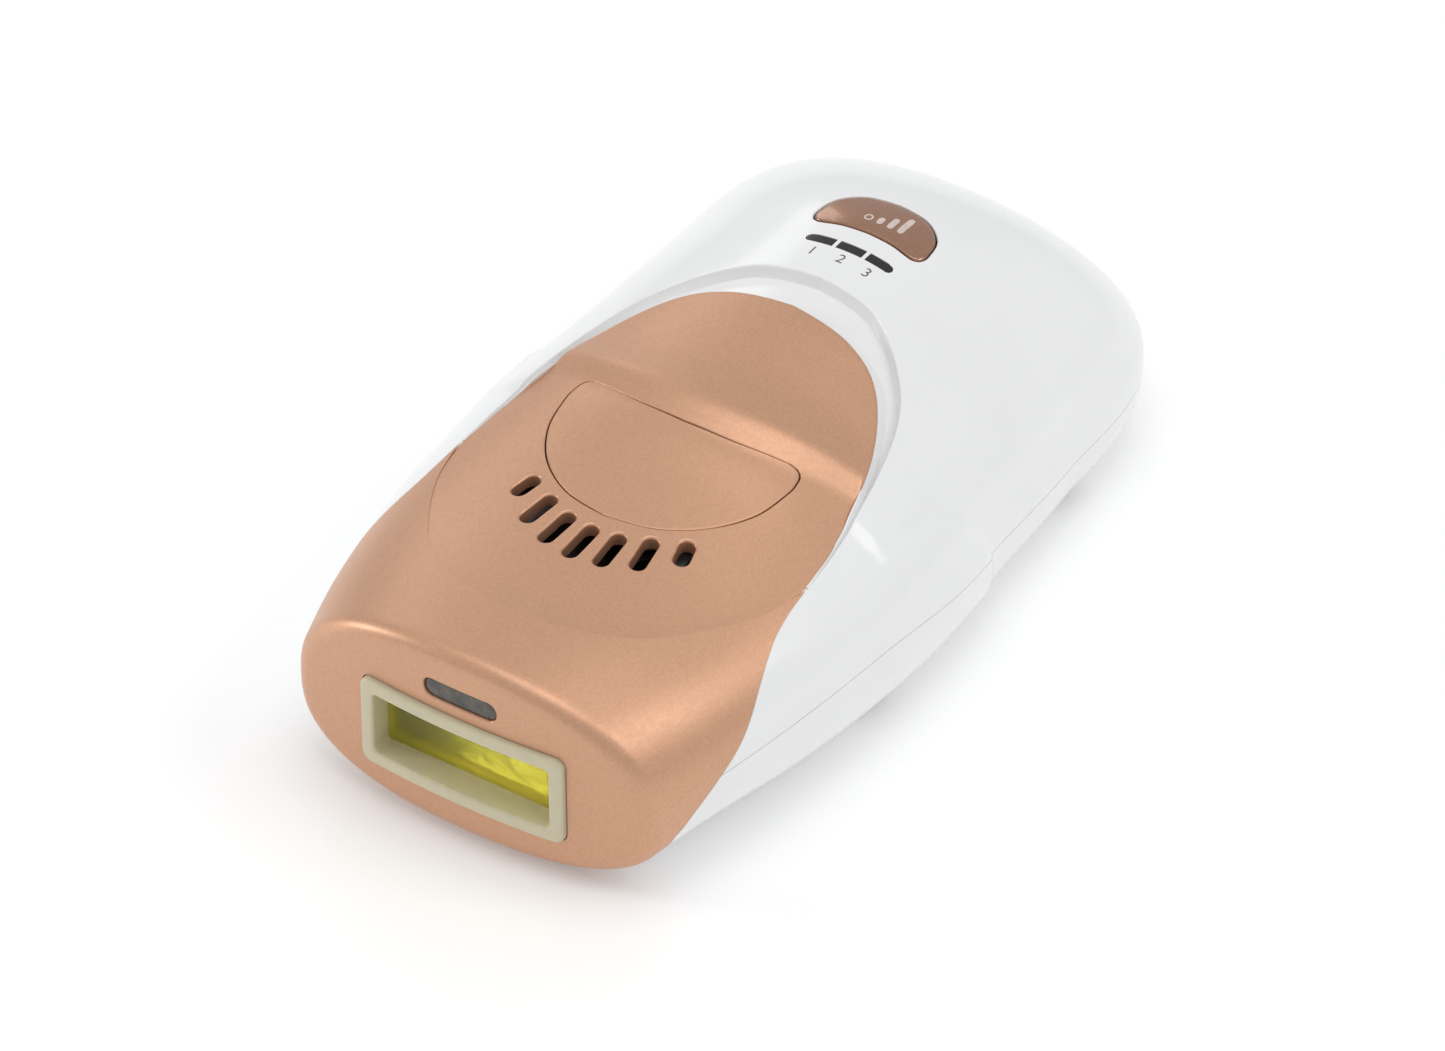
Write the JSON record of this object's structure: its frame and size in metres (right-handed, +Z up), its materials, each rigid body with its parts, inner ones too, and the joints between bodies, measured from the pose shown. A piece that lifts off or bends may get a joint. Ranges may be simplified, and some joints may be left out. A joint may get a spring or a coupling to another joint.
{
  "type": "ipl hair remover",
  "caption": "Handheld light-pulse hair remover with a lamp window, skin sensor, cooling slots, pulse button, level button and indicator lights.",
  "frame": {"origin": "centre of the base, on the surface that the device rests on", "axes": "+Z up, -Y towards the treatment head, X across the width, which the shells mirror"},
  "size_m": [0.0806, 0.1437, 0.0399],
  "materials": {
    "satin_copper": "satin metallic lacquer",
    "gloss_copper": "gloss metallic lacquer",
    "white_shell": "gloss moulded",
    "ivory_frame": "semi-matt moulded",
    "filter": "clear yellow-green",
    "tube_glass": "clear",
    "smoky_window": "smoky",
    "black_plastic": "moulded",
    "dark_lens": "gloss",
    "grey_plastic": "moulded",
    "heat_plastic": "glass-filled",
    "circuit_board": "solder mask",
    "steel": "plated",
    "mirror_metal": "polished",
    "winding_wire": "enamelled",
    "ferrite": "sintered",
    "capacitor_sleeve": "shrink sleeve",
    "led_white": "moulded",
    "lead_rubber": "silicone"
  },
  "bodies": {
    "housing": {"front_shell": "satin_copper", "upper_shell": "white_shell", "lower_shell": "white_shell", "lamp_frame": "ivory_frame", "filter_glass": "filter", "flash_tube": "tube_glass", "tube_cap_left": "steel", "tube_cap_right": "steel", "trigger_wire": "steel", "reflector": "mirror_metal", "lamp_holder": "heat_plastic", "lamp_lead_left": "lead_rubber", "lamp_lead_right": "lead_rubber", "sensor_window": "smoky_window", "sensor_board": "circuit_board", "pulse_switch": "black_plastic", "level_switch": "black_plastic", "level_lens_1": "dark_lens", "level_lens_2": "dark_lens", "level_lens_3": "dark_lens", "level_led_1": "led_white", "level_led_2": "led_white", "level_led_3": "led_white", "control_board": "circuit_board", "power_board": "circuit_board", "flash_capacitor": "capacitor_sleeve", "transformer_core": "ferrite", "transformer_winding": "winding_wire", "trigger_coil": "black_plastic", "dc_inlet": "black_plastic", "fan_frame": "grey_plastic", "fan_stator": "winding_wire", "air_duct": "grey_plastic", "shell_screw_1": "steel", "shell_screw_2": "steel", "shell_screw_3": "steel", "shell_screw_4": "steel", "board_screw_1": "steel", "board_screw_2": "steel", "board_screw_3": "steel", "board_screw_4": "steel", "roof_screw_1": "steel", "roof_screw_2": "steel", "fan_screw_1": "steel", "fan_screw_2": "steel", "holder_screw_1": "steel", "holder_screw_2": "steel"},
    "pulse_button": {"pulse_button": "satin_copper"},
    "pulse_plunger": {"pulse_plunger": "black_plastic"},
    "level_button": {"level_button": "gloss_copper"},
    "level_plunger": {"level_plunger": "black_plastic"},
    "fan_rotor": {"fan_impeller": "black_plastic"}
  },
  "joints": [
    {"name": "pulse_rock", "type": "hinge", "parent": "housing", "child": "pulse_button", "pos_m": [0, -0.03295, 0.0345], "axis": [-1, 0, 0], "range_deg": [0, 1.8], "stiffness_Nm_per_rad": 0.8},
    {"name": "pulse_switch_press", "type": "slide", "parent": "housing", "child": "pulse_plunger", "axis": [0, 0, -1], "range_m": [0, 0.0006]},
    {"name": "level_press", "type": "slide", "parent": "housing", "child": "level_button", "axis": [0, 0, -1], "range_m": [0, 0.0006], "stiffness_N_per_m": 600},
    {"name": "level_switch_press", "type": "slide", "parent": "housing", "child": "level_plunger", "axis": [0, 0, -1], "range_m": [0, 0.0006]},
    {"name": "fan_spin", "type": "hinge", "parent": "housing", "child": "fan_rotor", "pos_m": [0, -0.03635, 0.0264], "axis": [0, 0, 1], "continuous": true}
  ],
  "couplings": [
    {"joint": "pulse_switch_press", "follows": "pulse_rock", "m_per_rad": 0.0161},
    {"joint": "level_switch_press", "follows": "level_press", "ratio": 1}
  ]
}
